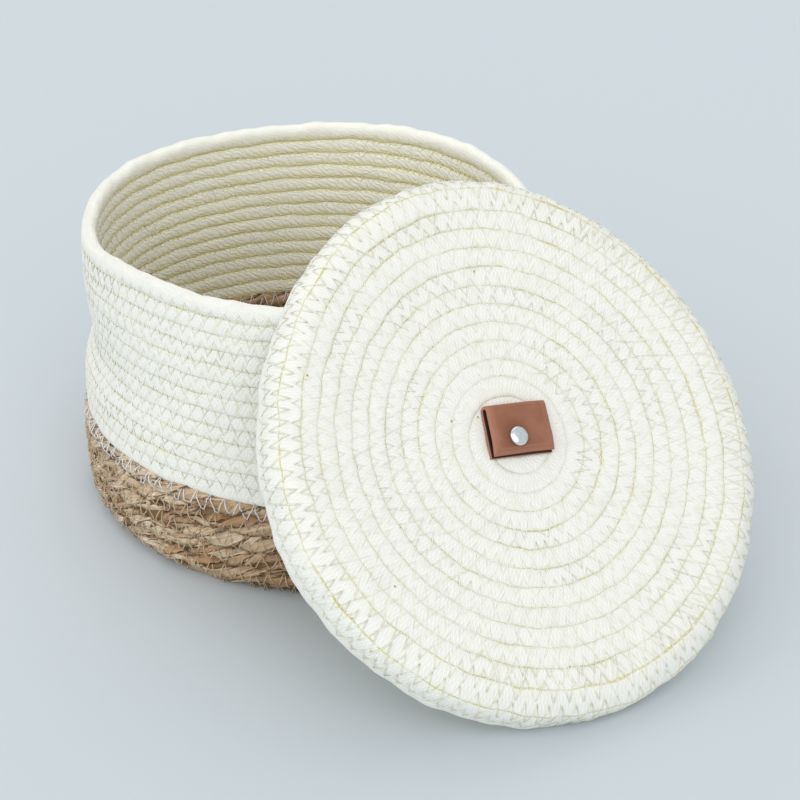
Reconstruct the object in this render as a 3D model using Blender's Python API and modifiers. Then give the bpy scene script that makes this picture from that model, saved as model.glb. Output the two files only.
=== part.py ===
"""A round knitting basket of coiled and stitched cord, with its cap lid leaning on the rim.

Two cords are wound on each other: a straw cord makes the base and the low band of the wall,
a cotton rope makes the rest of the wall up to the rim. A third cord makes the lid, a flat
spiral that turns down into a short skirt. A folded leather tab is riveted to its middle.
The origin is the middle of the base on the floor, and the lid leans towards -Y.
"""

import functools
import math

import bmesh
import bpy
import numpy as np
from mathutils import Matrix, Vector
from mathutils.bvhtree import BVHTree

# Driving sizes in metres and degrees: the basket
STRAW_CORD = 0.0081
STRAW_PITCH = 0.0090
COTTON_CORD = 0.0075
COTTON_PITCH = 0.0081
JOIN_GAP = 0.0006
BASE_FILLET = 0.0108
FOOT_RADIUS = 0.1232
BELLY_RADIUS = 0.1258
BELLY_HEIGHT = 0.050
BAND_HEIGHT = 0.047
RIM_RADIUS = 0.1172
RIM_HEIGHT = 0.153
SHOULDER_POWER = 1.3
WAIST_DEPTH = 0.0045
WAIST_HEIGHT = 0.119
WAIST_SPREAD = 0.012
STEP_ANGLE = -67.5

# The thread that sews the cotton rope to the straw cord
THREAD = 0.0007
STITCH_PITCH = 0.0070
STITCH_ABOVE = 0.0025
STITCH_BELOW = 0.0055

# The lid
LID_CORD = 0.0079
LID_PITCH = 0.0088
LID_PLAY = 0.0015
LID_DEPTH = 0.0275
LID_FILLET = 0.0106
LEAN_ANGLE = 45.0

# The tab and its rivet
LEATHER = 0.0016
TAB_SLIT = 0.0010
TAB_WIDTH = 0.0320
TAB_UPPER_LENGTH = 0.0250
TAB_LOWER_LENGTH = 0.0262
TAB_RIVET_TO_FOLD = 0.0145
TAB_TURN = -15.0
RIVET_CAP_RADIUS = 0.0046
RIVET_CAP_HEIGHT = 0.0022
RIVET_SOCKET_DEPTH = 0.0012
RIVET_POST_RADIUS = 0.0015
RIVET_FLANGE_RADIUS = 0.0050
RIVET_FLANGE_HEIGHT = 0.0010
RIVET_EDGE = 0.0003
EYE_PLAY = 0.0004

# Clearances and the fineness of round shapes
SEAT_GAP = 0.0003
SEAT_REACH = 0.012
SEAT_SPACING = 0.0015
SEAT_ROUNDS = 16
OVERRUN = 0.002
MERGE_DISTANCE = 0.00002
POINTS_PER_TURN = 16
TUBE_ROUNDING = 1
THREAD_ROUNDING = 0
BEND_STEPS = 4
SMALL_ROUND_STEPS = 24
CAP_ARC_STEPS = 6
GAP_SAMPLES = 4
WALL_STEPS = 200
FOLD_ARC_STEPS = 8
# How much of a six-sided cord's diameter lies between two of its flats
FLATS_SHARE = math.cos(math.radians(30.0))
# How much of the cord's diameter is cut off where the basket stands on it
FLOOR_CUT_SHARE = 0.1
# Where the straw cord's inner end lies, in pitches from the middle of the base
INNER_END_SHARE = 0.2
QUARTER_TURN = math.pi / 2
FULL_TURN = 2 * math.pi
FLAT_OUT_TILT = math.radians(-30.0)

COLLECTION = "knitting_basket"
CUTTERS = "cutters"


def clear_scene():
    for item in list(bpy.data.objects):
        bpy.data.objects.remove(item)


def collection(name):
    made = bpy.data.collections.new(name)
    bpy.context.scene.collection.children.link(made)
    return made


def material(name, colour, roughness, metallic=0.0):
    made = bpy.data.materials.new(name)
    made.use_nodes = True
    shader = made.node_tree.nodes["Principled BSDF"]
    shader.inputs["Base Color"].default_value = (*colour, 1.0)
    shader.inputs["Roughness"].default_value = roughness
    shader.inputs["Metallic"].default_value = metallic
    made.diffuse_color = (*colour, 1.0)
    return made


def flat_half(cord):
    """The distance from a six-sided cord's centre to its flats."""
    return cord * FLATS_SHARE / 2


class Profile:
    """A run of (radius, height) points that is read by the length from its first point."""

    def __init__(self, points):
        self.points = np.array(points)
        steps = np.hypot(*np.diff(self.points, axis=0).T)
        self.lengths = np.concatenate(([0.0], np.cumsum(steps)))
        self.length = self.lengths[-1]

    def at(self, length):
        radius = np.interp(length, self.lengths, self.points[:, 0])
        height = np.interp(length, self.lengths, self.points[:, 1])
        return float(radius), float(height)

    def length_to(self, height):
        return float(np.interp(height, self.points[:, 1], self.lengths))


def wall_radius(height):
    """The wall's outer radius: a belly over the foot, a waist under the rim."""
    if height < BELLY_HEIGHT:
        share = (BELLY_HEIGHT - height) / BELLY_HEIGHT
        return BELLY_RADIUS - (BELLY_RADIUS - FOOT_RADIUS) * share**2
    share = (height - BELLY_HEIGHT) / (RIM_HEIGHT - BELLY_HEIGHT)
    waist = WAIST_DEPTH * math.exp(-(((height - WAIST_HEIGHT) / WAIST_SPREAD) ** 2))
    return BELLY_RADIUS - (BELLY_RADIUS - RIM_RADIUS) * share**SHOULDER_POWER - waist


def foot_run():
    """The flat run of the base cord's centre, from the middle to where it turns up."""
    return wall_radius(straw_height() + BASE_FILLET) - flat_half(STRAW_CORD) - BASE_FILLET


def fillet_run():
    return BASE_FILLET * QUARTER_TURN


def straw_height():
    """The height of the base cord's centre, with its underside cut flat at the floor."""
    return STRAW_CORD * (0.5 - FLOOR_CUT_SHARE)


@functools.cache
def basket_profile(cord):
    """The profile of a cord's centre up the basket, from the middle of the base to the rim."""
    low = straw_height()
    inset = flat_half(cord)
    points = [(0.0, low), (foot_run(), low)]
    for step in range(1, SMALL_ROUND_STEPS):
        angle = QUARTER_TURN * step / SMALL_ROUND_STEPS
        points.append((
            foot_run() + BASE_FILLET * math.sin(angle),
            low + BASE_FILLET * (1 - math.cos(angle)),
        ))
    top = RIM_HEIGHT + COTTON_PITCH
    wall_low = low + BASE_FILLET
    for step in range(WALL_STEPS + 1):
        height = wall_low + (top - wall_low) * step / WALL_STEPS
        points.append((wall_radius(height) - inset, height))
    return Profile(points)


def point_on_turn(angle, radius, height):
    return Vector((radius * math.cos(angle), radius * math.sin(angle), height))


@functools.cache
def straw_turns():
    """The straw cord's turns to the mean height of its band, in whole route points."""
    top = basket_profile(STRAW_CORD).length_to(BAND_HEIGHT + (STRAW_PITCH - STRAW_CORD) / 2)
    return round((top / STRAW_PITCH - 1) * POINTS_PER_TURN) / POINTS_PER_TURN


def straw_angle(turn):
    """The straw cord climbs counter-clockwise and ends at the step under the rim's end."""
    return math.radians(STEP_ANGLE) + FULL_TURN * (turn - straw_turns())


def straw_place(turn):
    """The straw cord's radius, height and tilt, turn by turn from the middle of the base."""
    length = STRAW_PITCH * (1 + turn)
    radius, height = basket_profile(STRAW_CORD).at(length)
    share = min(max((length - foot_run()) / fillet_run(), 0.0), 1.0)
    return radius, height, FLAT_OUT_TILT * share


def cotton_start():
    """The length up the profile at which the cotton rope lies on the straw cord's last turn."""
    return STRAW_PITCH * straw_turns() + (STRAW_CORD + COTTON_CORD) / 2 + JOIN_GAP


@functools.cache
def cotton_turns():
    """The whole turns of cotton rope that bring the rim nearest to its mean height."""
    top = basket_profile(COTTON_CORD).length_to(RIM_HEIGHT + (COTTON_PITCH - COTTON_CORD) / 2)
    return 1 + round((top - cotton_start() - STRAW_PITCH) / COTTON_PITCH)


def cotton_place(turn):
    """The cotton rope's radius, height and tilt, turn by turn from the end of the straw cord.

    Its first turn lies on the straw cord and climbs as that does, the others lie on each other.
    """
    climb = STRAW_PITCH * min(turn, 1.0) + COTTON_PITCH * max(turn - 1.0, 0.0)
    radius, height = basket_profile(COTTON_CORD).at(cotton_start() + climb)
    return radius, height, FLAT_OUT_TILT


def cotton_angle(turn):
    return math.radians(STEP_ANGLE) + FULL_TURN * turn


def lid_radius():
    """The lid's outer radius: its skirt goes over the rim with a little play."""
    return RIM_RADIUS + LID_PLAY + 2 * flat_half(LID_CORD)


def eye_radius():
    """The radius of the lid cord's first turn, which leaves an eye for the rivet's post."""
    return (RIVET_POST_RADIUS + EYE_PLAY + LID_CORD / 2) / math.cos(math.pi / POINTS_PER_TURN)


@functools.cache
def lid_profile():
    """The profile of the lid cord's centre, under the top plane: out, round and down."""
    inset = flat_half(LID_CORD)
    reach = lid_radius() - inset
    flat_end = reach - LID_FILLET
    points = [(eye_radius(), -inset), (flat_end, -inset)]
    for step in range(1, SMALL_ROUND_STEPS + 1):
        angle = QUARTER_TURN * step / SMALL_ROUND_STEPS
        points.append((
            flat_end + LID_FILLET * math.sin(angle),
            -inset - LID_FILLET * (1 - math.cos(angle)),
        ))
    points.append((reach, -LID_DEPTH + LID_CORD / 2))
    return Profile(points)


def lid_turns():
    """The whole number of tube points that the lid's route holds, counted in turns."""
    return math.floor(lid_profile().length / LID_PITCH * POINTS_PER_TURN) / POINTS_PER_TURN


def lid_place(turn):
    length = LID_PITCH * turn
    flat_end = lid_radius() - flat_half(LID_CORD) - LID_FILLET - eye_radius()
    share = min(max((length - flat_end) / (LID_FILLET * QUARTER_TURN), 0.0), 1.0)
    radius, height = lid_profile().at(length)
    return radius, height, FLAT_OUT_TILT * share


def turn_steps(turns):
    count = round(turns * POINTS_PER_TURN)
    return [step / POINTS_PER_TURN for step in range(count + 1)]


def straw_route():
    """The cord's inner end lies across the middle, bends back and runs into the spiral."""
    start = straw_angle(0.0)
    low = straw_height()
    bend = STRAW_PITCH / 2
    route = [(Vector((-INNER_END_SHARE * STRAW_PITCH, 0.0, low)), 0.0)]
    for step in range(BEND_STEPS):
        angle = -QUARTER_TURN + math.pi * (step + 0.5) / BEND_STEPS
        route.append((Vector((bend * math.cos(angle), bend + bend * math.sin(angle), low)), 0.0))
    turned = start - QUARTER_TURN
    route = [(turn_about_z(point, turned), tilt) for point, tilt in route]
    for turn in turn_steps(straw_turns()):
        radius, height, tilt = straw_place(turn)
        route.append((point_on_turn(straw_angle(turn), radius, height), tilt))
    return route


def butt(lower, upper):
    """Ends one cord and starts the next half-way along the straight run between them."""
    last, last_tilt = lower[-1]
    first, first_tilt = upper[0]
    middle = (last + first) / 2
    along = (first - last).normalized() * SEAT_GAP / 2
    lower.append((middle - along, last_tilt))
    upper.insert(0, (middle + along, first_tilt))


def turn_about_z(point, angle):
    return Vector((
        point.x * math.cos(angle) - point.y * math.sin(angle),
        point.x * math.sin(angle) + point.y * math.cos(angle),
        point.z,
    ))


def cotton_route():
    """The rope's points, from the first one past the end of the straw cord."""
    route = []
    for turn in turn_steps(cotton_turns())[1:]:
        radius, height, tilt = cotton_place(turn)
        route.append((point_on_turn(cotton_angle(turn), radius, height), tilt))
    return route


def lid_route():
    route = []
    for turn in turn_steps(lid_turns()):
        radius, height, tilt = lid_place(turn)
        route.append((point_on_turn(FULL_TURN * turn, radius, height), tilt))
    return route


def on_facet(place, turn):
    """The radius and height of the straight run between two points of a wound route."""
    step = FULL_TURN / POINTS_PER_TURN
    inside = (turn * FULL_TURN) % step
    radius, height, tilt = place(turn)
    return radius * math.cos(step / 2) / math.cos(inside - step / 2), height


def seam_route():
    """A zigzag over the seam between the straw cord's last turn and the cotton's first.

    It has a point over each corner of the cords' routes, so that it cuts none of them.
    """
    route = []
    side = FULL_TURN * BELLY_RADIUS / POINTS_PER_TURN
    points = 2 * POINTS_PER_TURN * round(side / STITCH_PITCH)
    for step in range(1, points):
        share = step / points
        angle = cotton_angle(share)
        straw_radius, straw_z = on_facet(straw_place, straw_turns() - 1 + share)
        cotton_radius, cotton_z = on_facet(cotton_place, share)
        seam_z = straw_z + STRAW_CORD / 2 + JOIN_GAP / 2
        straw_face = straw_radius + flat_half(STRAW_CORD)
        cotton_face = cotton_radius + flat_half(COTTON_CORD)
        face = max(straw_face, cotton_face) + SEAT_GAP + THREAD / 2
        offset = STITCH_ABOVE if step % 2 else -STITCH_BELOW
        route.append((point_on_turn(angle, face, seam_z + offset), 0.0))
    return route


def tube(name, route, diameter, rounding, look, target):
    """One unbroken tube along a route of points and tilts, with filled ends."""
    curve = bpy.data.curves.new(name, "CURVE")
    curve.dimensions = "3D"
    curve.twist_mode = "Z_UP"
    curve.bevel_depth = diameter / 2
    curve.bevel_resolution = rounding
    curve.use_fill_caps = True
    spline = curve.splines.new("POLY")
    spline.points.add(len(route) - 1)
    for slot, (point, tilt) in zip(spline.points, route):
        slot.co = (*point, 1.0)
        slot.tilt = tilt
    curve.materials.append(look)
    made = bpy.data.objects.new(name, curve)
    target.objects.link(made)
    return made


def least_gap(route, diameter):
    """The least gap of a wound tube to itself, between points spread along its route."""
    corners = np.array([tuple(point) for point, tilt in route])
    fine = []
    for first, second in zip(corners[:-1], corners[1:]):
        pieces = max(1, math.ceil(np.linalg.norm(second - first) / diameter * GAP_SAMPLES))
        for piece in range(pieces):
            fine.append(first + (second - first) * piece / pieces)
    fine = np.array(fine + [corners[-1]])
    along = np.concatenate(([0.0], np.cumsum(np.linalg.norm(np.diff(fine, axis=0), axis=1))))
    least = math.inf
    for index, point in enumerate(fine):
        apart = along - along[index] > math.pi * diameter / 2
        if apart.any():
            least = min(least, np.linalg.norm(fine[apart] - point, axis=1).min())
    return least - diameter


def report_gap(name, route, diameter):
    print(f"{name}: least gap to itself {least_gap(route, diameter) * 1000:.2f} mm")


def as_mesh(source, target):
    """Swaps a curve object for a mesh object of the same name, with its caps welded."""
    bpy.context.view_layer.update()
    graph = bpy.context.evaluated_depsgraph_get()
    mesh = bpy.data.meshes.new_from_object(source.evaluated_get(graph))
    weld = bmesh.new()
    weld.from_mesh(mesh)
    bmesh.ops.remove_doubles(weld, verts=weld.verts, dist=MERGE_DISTANCE)
    weld.to_mesh(mesh)
    weld.free()
    name = source.name
    place = source.matrix_world.copy()
    bpy.data.objects.remove(source)
    made = bpy.data.objects.new(name, mesh)
    made.matrix_world = place
    target.objects.link(made)
    return made


def cut(piece, cutter):
    cutter.hide_render = True
    cutter.display_type = "WIRE"
    modifier = piece.modifiers.new("cut by " + cutter.name, "BOOLEAN")
    modifier.operation = "DIFFERENCE"
    modifier.solver = "EXACT"
    modifier.object = cutter


def move_to(made, target):
    for holder in list(made.users_collection):
        holder.objects.unlink(made)
    target.objects.link(made)


def floor_cutter(target):
    """A block under the floor, which cuts the base cord flat where the basket stands on it."""
    span = 2 * (FOOT_RADIUS + STRAW_CORD)
    bpy.ops.mesh.primitive_cube_add(size=1.0, location=(0.0, 0.0, -STRAW_CORD / 2))
    made = bpy.context.object
    made.name = "floor_cutter"
    made.scale = (span, span, STRAW_CORD)
    move_to(made, target)
    return made


def hole_cutter(name, radius, low, high, target, parent):
    bpy.ops.mesh.primitive_cylinder_add(
        vertices=SMALL_ROUND_STEPS, radius=radius, depth=high - low,
        location=(0.0, 0.0, (high + low) / 2),
    )
    made = bpy.context.object
    made.name = name
    made.parent = parent
    move_to(made, target)
    return made


def turned(name, outline, look, target, parent):
    """A closed body of revolution about Z, from an outline that runs down its outer side."""
    mesh = bpy.data.meshes.new(name)
    shape = bmesh.new()
    corners = [shape.verts.new((radius, 0.0, height)) for radius, height in outline]
    for first, second in zip(corners[:-1], corners[1:]):
        shape.edges.new((first, second))
    shape.to_mesh(mesh)
    shape.free()
    mesh.materials.append(look)
    made = bpy.data.objects.new(name, mesh)
    target.objects.link(made)
    made.parent = parent
    screw = made.modifiers.new("turn", "SCREW")
    screw.axis = "Z"
    screw.steps = SMALL_ROUND_STEPS
    screw.render_steps = SMALL_ROUND_STEPS
    screw.use_merge_vertices = True
    screw.merge_threshold = MERGE_DISTANCE
    screw.use_smooth_shade = True
    return made


def tab_top():
    """The height of the folded tab's upper face over the lid."""
    return SEAT_GAP + 2 * LEATHER + TAB_SLIT


def tab_outline():
    """The tab's side view: a strip folded double, with its fold at +X and an open slit."""
    outer = LEATHER + TAB_SLIT / 2
    inner = TAB_SLIT / 2
    middle = SEAT_GAP + outer
    fold = TAB_RIVET_TO_FOLD - outer
    upper_end = TAB_RIVET_TO_FOLD - TAB_UPPER_LENGTH
    lower_end = TAB_RIVET_TO_FOLD - TAB_LOWER_LENGTH
    points = [(lower_end, middle - outer)]
    points += half_round(fold, middle, outer, -QUARTER_TURN, QUARTER_TURN)
    points += [(upper_end, middle + outer), (upper_end, middle + inner)]
    points += half_round(fold, middle, inner, QUARTER_TURN, -QUARTER_TURN)
    points.append((lower_end, middle - inner))
    return points


def half_round(x, z, radius, start, end):
    points = []
    for step in range(FOLD_ARC_STEPS + 1):
        angle = start + (end - start) * step / FOLD_ARC_STEPS
        points.append((x + radius * math.cos(angle), z + radius * math.sin(angle)))
    return points


def leather_tab(look, target, cutters, parent):
    """The folded strip, turned a little on the lid, with the rivet's hole through both layers."""
    curve = bpy.data.curves.new("leather_tab", "CURVE")
    curve.dimensions = "2D"
    curve.fill_mode = "BOTH"
    curve.extrude = TAB_WIDTH / 2
    outline = tab_outline()
    spline = curve.splines.new("POLY")
    spline.use_cyclic_u = True
    spline.points.add(len(outline) - 1)
    for slot, (x, z) in zip(spline.points, outline):
        slot.co = (x, z, 0.0, 1.0)
    curve.materials.append(look)
    flat = bpy.data.objects.new("leather_tab", curve)
    target.objects.link(flat)
    flat.rotation_euler = (QUARTER_TURN, 0.0, QUARTER_TURN)
    made = as_mesh(flat, target)
    made.data.transform(made.matrix_world)
    made.matrix_world.identity()
    made.parent = parent
    made.rotation_euler = (0.0, 0.0, math.radians(TAB_TURN))
    hole = hole_cutter(
        "tab_hole", RIVET_POST_RADIUS + SEAT_GAP, -OVERRUN, tab_top() + OVERRUN, cutters, parent
    )
    cut(made, hole)
    return made


def rivet_cap(look, target, parent):
    """A domed cap on the tab, with a blind socket that the post stands in."""
    low = tab_top() + SEAT_GAP
    dome = RIVET_CAP_HEIGHT - RIVET_EDGE
    outline = []
    for step in range(CAP_ARC_STEPS + 1):
        angle = QUARTER_TURN * step / CAP_ARC_STEPS
        outline.append((
            RIVET_CAP_RADIUS * math.sin(angle),
            low + RIVET_EDGE + dome * math.cos(angle),
        ))
    socket = RIVET_POST_RADIUS + SEAT_GAP
    outline += [
        (RIVET_CAP_RADIUS, low),
        (socket, low),
        (socket, low + RIVET_SOCKET_DEPTH),
        (0.0, low + RIVET_SOCKET_DEPTH),
    ]
    return turned("rivet_cap", outline, look, target, parent)


def rivet_post(look, target, parent):
    """The post through the tab and the lid's eye, with its flange under the lid."""
    under = -2 * flat_half(LID_CORD) - SEAT_GAP
    top = tab_top() + RIVET_SOCKET_DEPTH
    outline = [
        (0.0, top),
        (RIVET_POST_RADIUS, top),
        (RIVET_POST_RADIUS, under),
        (RIVET_FLANGE_RADIUS, under),
        (RIVET_FLANGE_RADIUS, under - RIVET_FLANGE_HEIGHT + RIVET_EDGE),
        (RIVET_FLANGE_RADIUS - RIVET_EDGE, under - RIVET_FLANGE_HEIGHT),
        (0.0, under - RIVET_FLANGE_HEIGHT),
    ]
    return turned("rivet_post", outline, look, target, parent)


def surface_of(made):
    """A search tree of a curve object's surface, and points spread along its edges."""
    bpy.context.view_layer.update()
    graph = bpy.context.evaluated_depsgraph_get()
    mesh = bpy.data.meshes.new_from_object(made.evaluated_get(graph))
    corners = [corner.co.copy() for corner in mesh.vertices]
    tree = BVHTree.FromPolygons(corners, [face.vertices[:] for face in mesh.polygons])
    spread = []
    for edge in mesh.edges:
        first, second = (corners[index] for index in edge.vertices)
        pieces = math.ceil((second - first).length / SEAT_SPACING)
        spread += [first.lerp(second, piece / pieces) for piece in range(pieces)]
    bpy.data.meshes.remove(mesh)
    return tree, spread


def leaning(distance, height):
    """The lid's place for a distance and height of the middle of its top."""
    return Matrix.Translation((0.0, -distance, height)) @ Matrix.Rotation(
        math.radians(LEAN_ANGLE), 4, "X"
    )


def distances(tree, points, to_tree):
    """The distances to a surface of those points that lie within reach of it."""
    found = [tree.find_nearest(to_tree @ point, SEAT_REACH)[3] for point in points]
    return [distance for distance in found if distance is not None]


def lid_frame(cotton, lid, lid_points, target):
    """The middle of the leaning lid's top: its skirt stands on the floor, the rim carries it.

    From clear of the rim the lid moves in by the least distance left between the two, which
    never brings them into each other, until only the seating gap is left.
    """
    lean = math.radians(LEAN_ANGLE)
    lowest = min(point.y * math.sin(lean) + point.z * math.cos(lean) for point, tilt in lid_points)
    height = LID_CORD / 2 + SEAT_GAP - lowest
    clear = RIM_RADIUS + RIM_HEIGHT - height + 2 * LID_CORD
    distance = clear / math.sin(lean)
    cotton_tree, cotton_spread = surface_of(cotton)
    lid_tree, lid_spread = surface_of(lid)
    for _ in range(SEAT_ROUNDS):
        place = leaning(distance, height)
        from_rope = distances(lid_tree, cotton_spread, place.inverted())
        from_lid = distances(cotton_tree, lid_spread, place)
        gap = min(from_rope + from_lid, default=SEAT_REACH)
        distance -= gap - SEAT_GAP
    made = bpy.data.objects.new("lid_frame", None)
    made.location = (0.0, -distance, height)
    made.rotation_euler = (lean, 0.0, 0.0)
    target.objects.link(made)
    print(f"lid_frame: {-distance:.5f} {height:.5f}, {gap * 1000:.2f} mm from the rim")
    return made


def build():
    clear_scene()
    parts = collection(COLLECTION)
    cutters = collection(CUTTERS)
    straw = material("straw", (0.46, 0.30, 0.17), 0.85)
    cotton = material("cotton", (0.86, 0.86, 0.80), 0.9)
    lid_cotton = material("lid_cotton", (0.88, 0.88, 0.83), 0.9)
    thread = material("thread", (0.80, 0.80, 0.80), 0.6)
    leather = material("leather", (0.30, 0.13, 0.08), 0.5)
    nickel = material("nickel", (0.75, 0.75, 0.74), 0.25, 1.0)
    post_nickel = material("post_nickel", (0.62, 0.62, 0.61), 0.3, 1.0)

    straw_points = straw_route()
    cotton_points = cotton_route()
    butt(straw_points, cotton_points)
    lid_points = lid_route()
    report_gap("straw_coil", straw_points, STRAW_CORD)
    report_gap("cotton_coil", cotton_points, COTTON_CORD)
    report_gap("lid_coil", lid_points, LID_CORD)

    base = as_mesh(tube("straw_coil", straw_points, STRAW_CORD, TUBE_ROUNDING, straw, parts), parts)
    cut(base, floor_cutter(cutters))
    wall = tube("cotton_coil", cotton_points, COTTON_CORD, TUBE_ROUNDING, cotton, parts)
    tube("seam_thread", seam_route(), THREAD, THREAD_ROUNDING, thread, parts)

    lid = tube("lid_coil", lid_points, LID_CORD, TUBE_ROUNDING, lid_cotton, parts)
    frame = lid_frame(wall, lid, lid_points, parts)
    lid.parent = frame
    leather_tab(leather, parts, cutters, frame)
    rivet_cap(nickel, parts, frame)
    rivet_post(post_nickel, parts, frame)


build()
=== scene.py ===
"""A knitting basket wound from one straw cord and one cotton rope, with its cap lid leaning on the rim."""
import math

import bpy
import numpy as np
from mathutils import Matrix, Vector


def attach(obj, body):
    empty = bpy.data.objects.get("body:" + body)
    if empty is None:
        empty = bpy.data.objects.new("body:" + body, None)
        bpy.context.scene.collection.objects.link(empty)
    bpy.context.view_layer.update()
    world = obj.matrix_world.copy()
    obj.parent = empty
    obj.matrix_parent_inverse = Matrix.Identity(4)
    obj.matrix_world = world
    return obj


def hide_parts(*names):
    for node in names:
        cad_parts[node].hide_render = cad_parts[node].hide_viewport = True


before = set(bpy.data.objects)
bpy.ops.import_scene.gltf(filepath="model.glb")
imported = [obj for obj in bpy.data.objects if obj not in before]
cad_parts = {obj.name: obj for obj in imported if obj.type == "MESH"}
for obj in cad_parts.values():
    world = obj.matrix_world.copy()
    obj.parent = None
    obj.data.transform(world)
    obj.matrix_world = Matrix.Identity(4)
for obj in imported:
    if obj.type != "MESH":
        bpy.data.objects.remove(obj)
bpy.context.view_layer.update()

bpy.ops.object.select_all(action="DESELECT")


# ------------------------------------------------------------
# The camera. It stands in front and a little to the left, looks down at the basket, and is
# turned off its middle as far as the picture is.
# ------------------------------------------------------------
DEGREE = math.pi / 180
CAMERA_AZIMUTH, CAMERA_ELEVATION, CAMERA_DISTANCE = -30.9, 28.08, 1.039
CAMERA_LENS = 88.6
CAMERA_PAN, CAMERA_TILT, CAMERA_ROLL = -2.33, -1.92, 0.56
AIM_HEIGHT = 0.08

azimuth, elevation = CAMERA_AZIMUTH * DEGREE, CAMERA_ELEVATION * DEGREE
back = Vector((
    math.sin(azimuth) * math.cos(elevation),
    -math.cos(azimuth) * math.cos(elevation),
    math.sin(elevation),
))
place = back * CAMERA_DISTANCE + Vector((0.0, 0.0, AIM_HEIGHT))
right = Matrix.Rotation(CAMERA_ROLL * DEGREE, 3, back) @ Vector((math.cos(azimuth), math.sin(azimuth), 0.0))
above = back.cross(right)
pan = Matrix.Rotation(CAMERA_PAN * DEGREE, 3, above)
right, back = pan @ right, pan @ back
tilt = Matrix.Rotation(CAMERA_TILT * DEGREE, 3, right)
above, back = tilt @ above, tilt @ back
bpy.ops.object.camera_add()
camera = bpy.context.object
camera.matrix_world = Matrix.Translation(place) @ Matrix((right, above, back)).transposed().to_4x4()
camera.data.lens = CAMERA_LENS
camera.data.sensor_width = 36.0
camera.data.clip_start = 0.01
bpy.context.scene.camera = camera
bpy.context.scene.view_settings.view_transform = "Standard"


# ------------------------------------------------------------
# The floor and the light. A smooth blue-grey board, lit all round by a soft dome, with a soft
# lamp on the left in front, a weaker one low on the left, and one behind that opens the shadows.
# ------------------------------------------------------------
FLOOR_SIZE = 12.0
FLOOR_COLOUR = (0.610, 0.670, 0.712, 1.0)
DOME_COLOUR, DOME_STRENGTH = (1.0, 1.0, 1.0, 1.0), 0.67
# Each lamp's direction, seen from the basket, and its strength.
LAMPS = {
    "key_light": ((-0.38, -0.66, 0.64), 0.93),
    "left_light": ((-0.87, 0.0, 0.50), 0.44),
    "back_light": ((0.12, 0.70, 0.71), 0.50),
}
LAMP_ANGLE = 60 * DEGREE


def add(tree, kind, links=(), **settings):
    """Adds a node, sets its own settings, and feeds its inputs with links or plain values."""
    made = tree.nodes.new(kind)
    for name, value in settings.items():
        setattr(made, name, value)
    for name, value in dict(links).items():
        socket = made.inputs[name]
        if isinstance(value, bpy.types.NodeSocket):
            tree.links.new(value, socket)
        else:
            socket.default_value = value
    return made


def tree_of(*values):
    """The node tree of the first link among some values."""
    return next(value.id_data for value in values if isinstance(value, bpy.types.NodeSocket))


def maths(operation, *values, clamp=False):
    """A Math node's result, from links or plain numbers."""
    made = add(
        tree_of(*values), "ShaderNodeMath", enumerate(values), operation=operation, use_clamp=clamp,
    )
    return made.outputs[0]


def finish(name, roughness, **sockets):
    """A new material with a Principled shader, its node tree and that shader."""
    made = bpy.data.materials.new(name)
    made.use_nodes = True
    shader = made.node_tree.nodes["Principled BSDF"]
    shader.inputs["Roughness"].default_value = roughness
    for socket, value in sockets.items():
        shader.inputs[socket.replace("_", " ")].default_value = value
    return made, made.node_tree, shader


bpy.ops.mesh.primitive_plane_add(size=FLOOR_SIZE)
floor = bpy.context.object
floor.name = "floor"
board, _, shader = finish("floor_board", 0.75, Specular_IOR_Level=0.2)
shader.inputs["Base Color"].default_value = FLOOR_COLOUR
floor.data.materials.append(board)

world = bpy.data.worlds.new("soft_dome")
bpy.context.scene.world = world
world.use_nodes = True
tree = world.node_tree
tree.nodes.clear()
# The camera, gloss and glass see the board's colour where the board ends.
rays = add(tree, "ShaderNodeLightPath").outputs
seen = maths("MAXIMUM", rays["Is Camera Ray"], rays["Is Glossy Ray"])
seen = maths("MAXIMUM", seen, rays["Is Transmission Ray"])
dome = add(tree, "ShaderNodeBackground", {"Color": DOME_COLOUR, "Strength": DOME_STRENGTH})
plain = add(tree, "ShaderNodeBackground", {"Color": FLOOR_COLOUR, "Strength": 1.0})
either = add(tree, "ShaderNodeMixShader", {0: seen, 1: dome.outputs[0], 2: plain.outputs[0]})
add(tree, "ShaderNodeOutputWorld", {"Surface": either.outputs[0]})

for name, (direction, strength) in LAMPS.items():
    direction = Vector(direction)
    bpy.ops.object.light_add(type="SUN", location=direction.normalized() * 2)
    lamp = bpy.context.object
    lamp.name = name
    lamp.data.energy = strength
    lamp.data.angle = LAMP_ANGLE
    lamp.rotation_euler = direction.to_track_quat("Z", "Y").to_euler()


# ------------------------------------------------------------
# The straw cord. Broad dry leaves are twisted round a core of broken straw into one cord, which
# is wound from the middle of the base outwards and up the wall for five rows.
# ------------------------------------------------------------
FULL_TURN = 2 * math.pi
BELLY_RADIUS, BELLY_HEIGHT = 0.1258, 0.050
FOOT_DROP, RIM_DROP, SHOULDER_POWER = 0.0026, 0.0086, 1.3
RIM_HEIGHT, PROFILE_OVER_RIM = 0.153, 0.012
BASE_FILLET, BASE_HEIGHT = 0.0108, 0.00324
STEP_ANGLE = -67.5 * DEGREE
STRAW_PITCH, STRAW_TURNS, STRAW_INSET = 0.0090, 17.0, 0.0035
# Turns along the straw cord: its inner end, the end of its curl, where its length counts from, and
# where the wall starts. Inside the curl it runs straight, so much to a turn.
STRAW_INNER_END, STRAW_CURL_END, STRAW_ZERO, STRAW_WALL_TURN = -1.0, -0.80, -0.64, 12.0
STRAW_TUCK = 0.020
CURL_STEP, BASE_STEP, WALL_STEP = 0.0012, 0.0030, 0.0022
STRAW_HALF, STRAW_CORE, STRAW_LAP, STRAW_POWER = 0.0041, 0.0034, 1.05, 2.1
STRAW_SIDES, STRAW_GIRTH = 12, 0.024
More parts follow.
